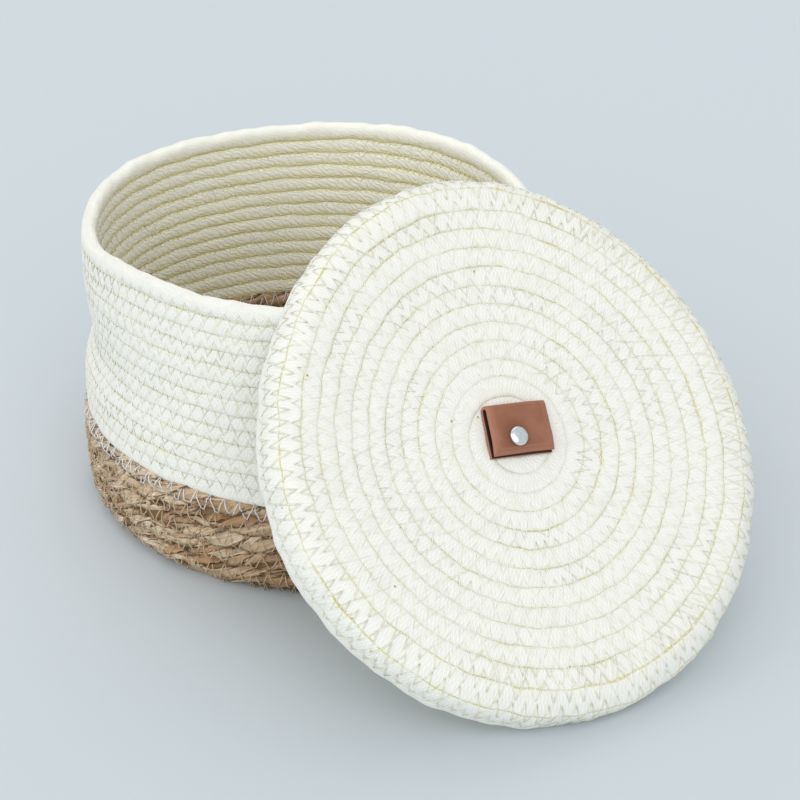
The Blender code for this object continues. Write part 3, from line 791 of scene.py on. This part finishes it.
# The rope's face on either side: its half thickness, its power, and how far the thread may sink.
FACE_OUTSIDE, FACE_INSIDE = (ROPE_OUT, FLAT_POWER, 0.0004), (ROPE_IN, ROUND_POWER, 0.0009)


def thread_piece(name, path, out, radius, sides, material, body):
    """A thread along a path on a surface whose way out is given."""
    ahead = np.gradient(path, axis=0)
    ahead /= np.linalg.norm(ahead, axis=1, keepdims=True)
    out = out - ahead * np.sum(out * ahead, 1, keepdims=True)
    out /= np.linalg.norm(out, axis=1, keepdims=True)
    aside = np.cross(ahead, out)
    angle = np.arange(sides) / sides * FULL_TURN
    rings = path[:, None] + radius * (
        out[:, None] * np.cos(angle)[None, :, None] + aside[:, None] * np.sin(angle)[None, :, None]
    )
    along, around = np.arange(len(rings))[None] * 0.002, np.zeros(sides + 1)
    return piece_of(name, tubes(rings[None], along, around, flip=True), material, body)


def rope_face(share, half_out, power):
    """How far a rope's face stands from its middle, at a share of its half width."""
    return half_out * (1 - np.abs(share).clip(0, 0.97) ** power) ** (1 / power)


def zigzag_points(stitches, start, end, legs):
    """A zigzag's stitch count and turn at each point, so many to a leg, and which are corners."""
    fine = np.linspace(start, end, 20000)
    first, last = math.ceil(2 * stitches(start)), math.floor(2 * stitches(end))
    phase = np.arange(first * legs, last * legs + 1) / legs / 2
    return phase, np.interp(phase, stitches(fine), fine), np.abs(np.abs(stitch_wave(phase)) - 1) < 0.01


def zigzag(frame_at, stitches, start, end, pitch, reach, centre, side):
    """A zigzag's path over a cotton seam and its way out."""
    phase, turn, corner = zigzag_points(stitches, start, end, 3)
    across = centre + reach * stitch_wave(phase)
    middle, out, _ = frame_at(turn, across * pitch)
    half, power, sunk = FACE_OUTSIDE if side > 0 else FACE_INSIDE
    face = np.maximum(rope_face((across - np.round(across)) * 2, half, power), half - sunk)
    height = face + np.where(corner, CORNER_SUNK, LEG_PROUD)
    return middle + side * out * height[:, None], side * out


def thread_finish(name, roughness, scale, *tones):
    """Spun thread, whose twist shows as two tones. The lid's outer rows may have two of their own."""
    made, tree, shader = finish(name, roughness, Specular_IOR_Level=0.3)
    place = on_object(tree)
    twist = noise(place, scale, 2.0)
    colour = blend(twist, *tones[:2])
    if tones[2:]:
        greyer = add(tree, "ShaderNodeVectorMath", {0: place, 1: tuple(LID_ORIGIN)}, operation="DISTANCE")
        greyer = fade(greyer.outputs["Value"], *GREYER_FROM)
        colour = blend(greyer, colour, blend(twist, *tones[2:]))
    tree.links.new(colour, shader.inputs["Base Color"])
    return made


thread_look = thread_finish("cotton_thread", 0.7, 900.0, (0.97, 0.97, 0.93), (0.86, 0.86, 0.80))
for name, side, shift in (("cotton_thread_outside", 1.0, 0.0), ("cotton_thread_inside", -1.0, 0.5)):
    path, out = zigzag(
        cotton_frame, lambda t: cotton_stitches(t) + shift, 0.05, COTTON_TURNS - 1.0, COTTON_PITCH,
        STITCH_REACH, 0.5, side,
    )
    thread_piece(name, settle_basket(path), out, THREAD, 4, thread_look, "basket")


# ------------------------------------------------------------
# The white thread that sews the first cotton row to the last straw row, in a wide zigzag, and
# the tan thread of the straw rows below it.
# ------------------------------------------------------------
STRAW_THREAD, STRAW_STITCH, STRAW_STITCHED_RADIUS = 0.00030, 0.0075, 0.1245
WHITE_PROUD, TAN_PROUD, STRAW_CORNER_SUNK, STRAW_SUNK = 0.0011, 0.0009, -0.0006, 0.0010
WHITE_LOW, WHITE_HIGH = -0.58, 0.55


def straw_stitches(turn):
    """How many stitches are sewn up to a turn of the straw cord."""
    return FULL_TURN * STRAW_STITCHED_RADIUS / STRAW_STITCH * turn + 0.9 * np.sin(turn * 5.3)


def straw_zigzag(start, end, low, high, proud, side=1.0):
    """A zigzag's path over a straw row and its way out."""
    phase, turn, corner = zigzag_points(straw_stitches, start, end, 4)
    across = (low + high) / 2 + (high - low) / 2 * stitch_wave(phase)
    middle, out, _ = straw_frame(turn, across * STRAW_PITCH)
    row = (across - np.round(across)) * 2
    aslant = np.arcsin(row) if side > 0 else math.pi - np.arcsin(row)
    thick = straw_section(np.interp(turn + across, straw_turn, straw_along), aslant, STRAW_HALF)
    face = np.maximum(rope_face(row, 1.0, 2.2) * thick, STRAW_HALF - STRAW_SUNK)
    height = face + np.where(corner, STRAW_CORNER_SUNK, proud)
    return middle + side * out * height[:, None], side * out


white_look = thread_finish("white_thread", 0.6, 1200.0, (0.90, 0.90, 0.92), (0.66, 0.66, 0.69))
for name, side in (("white_thread", 1.0), ("white_thread_inside", -1.0)):
    path, out = straw_zigzag(STRAW_TURNS - 1, STRAW_TURNS, WHITE_LOW, WHITE_HIGH, WHITE_PROUD, side)
    white_thread = thread_piece(
        name, settle_basket(path), out, STRAW_THREAD, 6, white_look, "basket",
    )
    if side > 0:
        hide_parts("seam_thread")

tan_look = thread_finish("tan_thread", 0.7, 700.0, (0.68, 0.55, 0.36), (0.48, 0.35, 0.20))
path, out = straw_zigzag(STRAW_WALL_TURN - 0.4, STRAW_TURNS - 1, -0.5, 0.5, TAN_PROUD)
thread_piece("tan_thread", settle_basket(path), out, STRAW_THREAD, 5, tan_look, "basket")


# ------------------------------------------------------------
# The lid. The same cotton rope, wound flat from the rivet's eye outwards and turned down into a
# skirt of three rows. The sewing pulls its rows wider on one side than on the other.
# ------------------------------------------------------------
LID_PITCH, LID_TURNS, LID_STEP = 0.0088, 15.0, 0.00160
LID_LAP, LID_FLAT_POWER, LID_EDGE_POWER = 0.0010, 6.2, 3.0
LID_RADIUS, LID_INSET, LID_FILLET, LID_DEPTH = 0.12554, 0.00342, 0.0088, 0.0275
LID_EDGE_HALF, EYE_RADIUS = 0.0039, 0.00597
LID_ORIGIN = np.array([0.0, -0.17329, 0.10589])
LEAN = math.sqrt(0.5)
LID_AXES = np.array([[1.0, 0.0, 0.0], [0.0, LEAN, LEAN], [0.0, -LEAN, LEAN]])
# The sewing only bites from this turn on. Further in, the rope is too tightly curled.
THREAD_FROM, FIRMER_FROM = 2.2, 11.0
LID_SPREAD, SPREAD_POWER = 0.0027, 6
LID_WAVES = ((1, 0.0082, -10), (2, 0.0021, 70), (3, 0.0013, -38), (4, 0.0007, -3))
# The thread goes from white in the middle to greyish green on the outer rows, between these
# distances from the rivet.
GREYER_FROM = 0.080, 0.112

flat_end = LID_RADIUS - LID_INSET - LID_FILLET
bend = np.linspace(0, math.pi / 2, 24)
radii = np.concatenate([
    [0.0, EYE_RADIUS], flat_end + LID_FILLET * np.sin(bend), [LID_RADIUS - LID_INSET] * 2,
])
heights = np.concatenate([
    [-LID_INSET] * 2, -LID_INSET - LID_FILLET * (1 - np.cos(bend)),
    [LID_EDGE_HALF - LID_DEPTH, -LID_DEPTH - 0.01],
])
lid_profile = profile_of(radii, heights, EYE_RADIUS)


def lid_frame(turn, shift=0.0):
    """The lid rope's middle, out of the lid's top and up its spiral."""
    return wound(lid_profile, LID_PITCH * turn + shift, FULL_TURN * turn, side=-1.0)


def settle_lid(points):
    """Puts points of a perfectly round lid where the hand-made one has them, in its lean."""
    x, y, z = np.moveaxis(points, -1, 0)
    radius, angle = np.hypot(x, y), np.arctan2(y, x)
    share = radius / LID_RADIUS
    out = waves(angle, LID_WAVES) * share**2 + LID_SPREAD * share**SPREAD_POWER
    out = out + ripple(angle, radius) * share.clip(0, 1)
    local = np.stack([x + out * np.cos(angle), y + out * np.sin(angle), z], -1)
    placed = local @ LID_AXES + LID_ORIGIN
    placed[..., 2] = np.maximum(placed[..., 2], FLOOR_CLEARANCE)
    return placed


turn, along = evenly(lid_frame, 0.0, LID_TURNS, LID_STEP)
turn_table, along_table = turn, along


def lid_stitches(t):
    """How many stitches are sewn up to a turn of the lid's rope."""
    count = np.interp(t, turn_table, along_table) / STITCH_LENGTH
    return count + 0.30 * np.sin(t * 41.0) + 0.20 * np.sin(t * 97.0)


def firmness(t):
    """How firmly the seam above turn t is sewn: loosely in the middle, hardest at the edge."""
    harder = 0.9 + 0.2 * ((t - FIRMER_FROM) / 2.0).clip(0, 1)
    return ((t - THREAD_FROM) * 4 + 0.2).clip(0.45, 1) * harder


last = ((turn - (LID_TURNS - 1)) / 0.06).clip(0, 1)
half = np.full(len(turn), LID_PITCH / 2 + LID_LAP)
stitch = np.stack([lid_stitches(turn), lid_stitches(turn - 1)], -1)
strength = np.stack([firmness(turn) * (1 - last), firmness(turn - 1)], -1)
ending = taper(turn, LID_TURNS, ROPE_END)
rings, girth, marks = rope_rings(
    lid_frame, turn, along, half, half * ending, stitch, strength,
    LID_FLAT_POWER - (LID_FLAT_POWER - LID_EDGE_POWER) * last, ending, np.zeros(len(turn)),
)
# Its colours after the pitch: the painted shade in the thread creases, and the share of painted shade in the
# seams.
lid_look = cotton_look("cotton_lid", LID_PITCH, (0.87, 0.87, 0.76), (0.55, 1.0))
shape = tubes(settle_lid(rings)[None], along[None], girth, flip=True)
lid_rope = piece_of("lid_rope", shape, lid_look, "lid", marks)
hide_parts("lid_coil")

lid_thread_look = thread_finish(
    "lid_thread", 0.7, 900.0, (0.96, 0.96, 0.91), (0.85, 0.85, 0.78), (0.91, 0.91, 0.82), (0.82, 0.82, 0.70),
)
# Each run is its side, its shift, where it starts and ends, its reach, its middle and its spacing.
for name, side, shift, start, end, reach, centre, spacing in (
    ("lid_thread_top", 1.0, 0.0, THREAD_FROM, LID_TURNS - 1.0, STITCH_REACH, 0.5, 1.0),
    ("lid_thread_under", -1.0, 0.5, THREAD_FROM, LID_TURNS - 1.0, STITCH_REACH, 0.5, 1.0),
    ("lid_thread_mended", 1.0, 0.2, 11.66, 12.14, 0.62, 0.05, 0.87),
):
    path, out = zigzag(
        lid_frame, lambda t: lid_stitches(t) * spacing + shift, start, end, LID_PITCH, reach, centre, side,
    )
    thread_piece(name, settle_lid(path), out @ LID_AXES, THREAD, 4, lid_thread_look, "lid")


# ------------------------------------------------------------
# The tab. One strip of brown leather folded double, with the fold towards the lid's upper edge.
# The rivet pinches both layers, so that the leather rises round it and the slit stands open.
# ------------------------------------------------------------
TAB_WIDTH, TAB_FLARE, TAB_ASIDE, TAB_TURN = 0.0312, 0.03, 0.0022, -10.5 * DEGREE
LEATHER = 0.0016
FOLD_AT, LOWER_END, UPPER_END = 0.0134, -0.0086, -0.0078
LOWER_LEVEL, UPPER_LEVEL = 0.0011, 0.0048
CAP_RADIUS = 0.0046
PINCH, DISH_REACH = 0.0012, 0.0100
SHOULDER_WIDTH, SHOULDER_DROP = 0.0026, 0.0010
SLIT_CLOSING, LOWER_OUT = 0.0016, 0.0009
SURFACE_WAVE, OUTLINE_WAVE = 0.00012, 0.0003
CUT_EDGE, RIVET_HOLE, PRESSED_LINE = 0.00040, 0.0018, 0.0026
NEAR = 1e-5

bpy.ops.object.select_all(action="DESELECT")
bpy.ops.mesh.primitive_plane_add(size=1.0)
tab = bpy.context.object
tab.name = tab.data.name = "leather_strip"
tab.scale = (TAB_WIDTH, FOLD_AT - LOWER_END, 1.0)
tab.location = (0.0, (FOLD_AT + LOWER_END) / 2, LOWER_LEVEL)
bpy.ops.object.transform_apply(location=True, rotation=True, scale=True)


def select_edges(piece, wanted):
    """Selects only the edges whose two ends are wanted, and stays in edit mode."""
    bpy.ops.object.mode_set(mode="OBJECT")
    for part in (piece.data.polygons, piece.data.edges, piece.data.vertices):
        part.foreach_set("select", [False] * len(part))
    for edge in piece.data.edges:
        ends = [piece.data.vertices[corner].co for corner in edge.vertices]
        edge.select = wanted(*ends)
    bpy.ops.object.mode_set(mode="EDIT")


bpy.ops.object.mode_set(mode="EDIT")
bpy.ops.mesh.select_mode(type="EDGE")
select_edges(tab, lambda a, b: min(a.y, b.y) > FOLD_AT - NEAR)
bpy.ops.mesh.spin(
    steps=10, angle=-math.pi, axis=(1.0, 0.0, 0.0),
    center=(0.0, FOLD_AT, (LOWER_LEVEL + UPPER_LEVEL) / 2),
)
select_edges(tab, lambda a, b: min(a.z, b.z) > UPPER_LEVEL - NEAR)
bpy.ops.mesh.extrude_region_move(TRANSFORM_OT_translate={"value": (0.0, UPPER_END - FOLD_AT, 0.0)})
select_edges(tab, lambda a, b: abs(a.y - b.y) > 0.01)
bpy.ops.mesh.subdivide(number_cuts=21)
select_edges(tab, lambda a, b: abs(a.x - b.x) > TAB_WIDTH * 0.9)
bpy.ops.mesh.subdivide(number_cuts=27)
bpy.ops.mesh.select_all(action="SELECT")
bpy.ops.mesh.remove_doubles(threshold=1e-6)
bpy.ops.mesh.normals_make_consistent(inside=False)
bpy.ops.object.mode_set(mode="OBJECT")

thick = tab.modifiers.new("thickness", "SOLIDIFY")
thick.thickness, thick.offset, thick.use_even_offset = LEATHER, 0.0, True
cut_edges = tab.modifiers.new("cut_edges", "BEVEL")
cut_edges.width, cut_edges.segments, cut_edges.limit_method = CUT_EDGE, 3, "ANGLE"
for modifier in ("thickness", "cut_edges"):
    bpy.ops.object.modifier_apply(modifier=modifier)


def within(value):
    """A value kept between 0 and 1."""
    return min(max(value, 0.0), 1.0)


# The leather is pushed into its worn shape: pinched by the rivet, with rounded shoulders along its
# edges, the slit closing towards the open end, and the lower layer a little out at the left. Marks
# say where its raw inner side lies in the slit, which is painted nearly black as the slit's shade,
# and how far a point is from a cut edge.
middle_level = (LOWER_LEVEL + UPPER_LEVEL) / 2
slit_half = (UPPER_LEVEL - LOWER_LEVEL - LEATHER) / 2
pinch_end = CAP_RADIUS * 0.9
slit_shade_mark = tab.data.attributes.new("slit_shade_side", "FLOAT", "POINT")
inset = tab.data.attributes.new("inset", "FLOAT", "POINT")
for vertex in tab.data.vertices:
    x, y, z = vertex.co
    off_axis = math.hypot(max(y - FOLD_AT, 0.0), z - middle_level)
    slit_shade_mark.data[vertex.index].value = 1.0 if off_axis < slit_half + 0.0001 else 0.0
    inwards = min(TAB_WIDTH / 2 - abs(x), y - UPPER_END)
    inset.data[vertex.index].value = inwards
    layer = min(max((z - middle_level) / (UPPER_LEVEL - middle_level), -1.0), 1.0)
    dish = within((math.hypot(x + TAB_ASIDE, y) - pinch_end) / (DISH_REACH - pinch_end))
    dish = dish * dish * (3 - 2 * dish)
    if layer > 0:
        depth = within((z - UPPER_LEVEL) / LEATHER + 0.5)
        shoulder = max(1 - max(inwards, 0.0) / SHOULDER_WIDTH, 0.0) ** 2
        closing = within(y / UPPER_END) ** 1.5
        z -= layer * (PINCH * (1 - dish) + SHOULDER_DROP * shoulder * depth + SLIT_CLOSING * closing * dish)
        z += layer * SURFACE_WAVE * dish * math.sin(x * 300 + y * 190)
    x -= LOWER_OUT * (1 - layer) / 2
    x = x * (1 + TAB_FLARE * (FOLD_AT - y) / (FOLD_AT - LOWER_END)) + TAB_ASIDE
    y += OUTLINE_WAVE * math.sin(x * 90 + 0.6) * (1 + 0.4 * layer)
    vertex.co = (x, y, z)

bpy.ops.mesh.primitive_cylinder_add(vertices=40, radius=RIVET_HOLE, depth=0.02)
punch = bpy.context.object
bpy.ops.object.select_all(action="DESELECT")
tab.select_set(True)
bpy.context.view_layer.objects.active = tab
hole = tab.modifiers.new("rivet_hole", "BOOLEAN")
hole.operation, hole.object, hole.solver = "DIFFERENCE", punch, "EXACT"
bpy.ops.object.modifier_apply(modifier="rivet_hole")
bpy.data.objects.remove(punch, do_unlink=True)
bpy.ops.object.shade_smooth_by_angle(angle=50 * DEGREE)

ON_LID = Matrix.Translation(Vector(LID_ORIGIN)) @ Matrix(LID_AXES.T.tolist()).to_4x4()
tab.data.transform(ON_LID @ Matrix.Rotation(TAB_TURN, 4, "Z"))
tab.data.update()

leather_look, tree, shader = finish("brown_leather", 0.5, Specular_IOR_Level=0.45, Coat_Weight=0.08)
place = on_object(tree)
grain = add(tree, "ShaderNodeTexVoronoi", {"Vector": place, "Scale": 1500.0}, feature="DISTANCE_TO_EDGE")
grain = fade(grain.outputs["Distance"], 0.0, 0.25)
pores, clouds = noise(place, 2600.0), noise(place, 130.0)
to_rivet = add(tree, "ShaderNodeVectorMath", {0: place, 1: tuple(LID_ORIGIN)}, operation="DISTANCE")
pinched = fade(to_rivet.outputs["Value"], 0.0062, 0.0125, 1.0, 0.0)
brown, light, dark = (0.315, 0.120, 0.062), (0.37, 0.155, 0.088), (0.20, 0.065, 0.025)
worn, slit_shade_brown = (0.47, 0.20, 0.13), (0.025, 0.010, 0.005)
inset = mark(tree, "inset", "Fac")
pressed = fade(maths("ABSOLUTE", maths("SUBTRACT", inset, PRESSED_LINE)), 0.0005, 0.0001)
colour = layered(
    brown,
    (light, fade(clouds, 0.35, 0.7)),
    (dark, times(pinched, 0.55)),
    (dark, fade(grain, 1.0, 0.0, 0.0, 0.22)),
    (worn, fade(inset, 0.0030, 0.0004, 0.0, 0.45)),
    (worn, times(pressed, 0.35)),
    # Painted shade: the inner side in the slit is coloured nearly black.
    (slit_shade_brown, fade(mark(tree, "slit_shade_side", "Fac"), 0.3, 0.9)),
)
tree.links.new(fade(clouds, 0.3, 0.7, 0.42, 0.60), shader.inputs["Roughness"])
dress(shader, colour, maths("MULTIPLY_ADD", pores, 0.35, grain), 0.7, 0.00008)
tab.data.materials.append(leather_look)
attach(tab, "tab")
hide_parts("leather_tab")


# ------------------------------------------------------------
# The rivet. A thin domed cap of nickel, a little dented by the press, and the plain post that it
# is pressed on, which goes down through the tab and the lid's eye to a flange.
# ------------------------------------------------------------
CAP_LOW, CAP_HEIGHT, CAP_EDGE, CAP_DENT = 0.0048, 0.0022, 0.0004, 0.00003

bpy.ops.mesh.primitive_uv_sphere_add(segments=48, ring_count=24, radius=CAP_RADIUS)
cap = bpy.context.object
cap.name = cap.data.name = "cap_dome"
bpy.ops.object.mode_set(mode="EDIT")
bpy.ops.mesh.select_all(action="SELECT")
bpy.ops.mesh.bisect(plane_co=(0, 0, 0), plane_no=(0, 0, 1), clear_inner=True, use_fill=True)
bpy.ops.object.mode_set(mode="OBJECT")
for vertex in cap.data.vertices:
    x, y, z = vertex.co
    if z > 1e-6:
        z = CAP_EDGE + (CAP_HEIGHT - CAP_EDGE) * (z / CAP_RADIUS) ** 0.85
        dents = math.sin(x * 1900 + 1.0) * math.sin(y * 1500 + 0.4) + math.sin((x + y) * 900)
        z += CAP_DENT * dents * min(z / CAP_HEIGHT, 1.0)
    vertex.co = (x, y, z + CAP_LOW)
bpy.ops.object.shade_smooth_by_angle(angle=60 * DEGREE)
cap.data.transform(ON_LID)
cap.data.update()


def nickel(name, colour, roughness):
    """Nickel plate: cloudy wear in its gloss, and hair scratches."""
    made, tree, shader = finish(name, roughness, Metallic=1.0)
    place = on_object(tree)
    clouds = noise(place, 420.0)
    hairs = noise(stretched(place, (900.0, 6000.0, 900.0)), 1.0, 2.0)
    colour = blend(fade(clouds, 0.35, 0.7), colour, tuple(value * 0.86 for value in colour))
    gloss = fade(clouds, 0.3, 0.7, roughness * 0.8, roughness * 1.3)
    tree.links.new(gloss, shader.inputs["Roughness"])
    dress(shader, colour, hairs, 0.3, 0.00002)
    return made


cap.data.materials.append(nickel("cap_nickel", (0.86, 0.86, 0.85), 0.26))
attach(cap, "lid")
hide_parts("rivet_cap")
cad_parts["rivet_post"].material_slots[0].material = nickel("post_nickel", (0.66, 0.66, 0.65), 0.38)
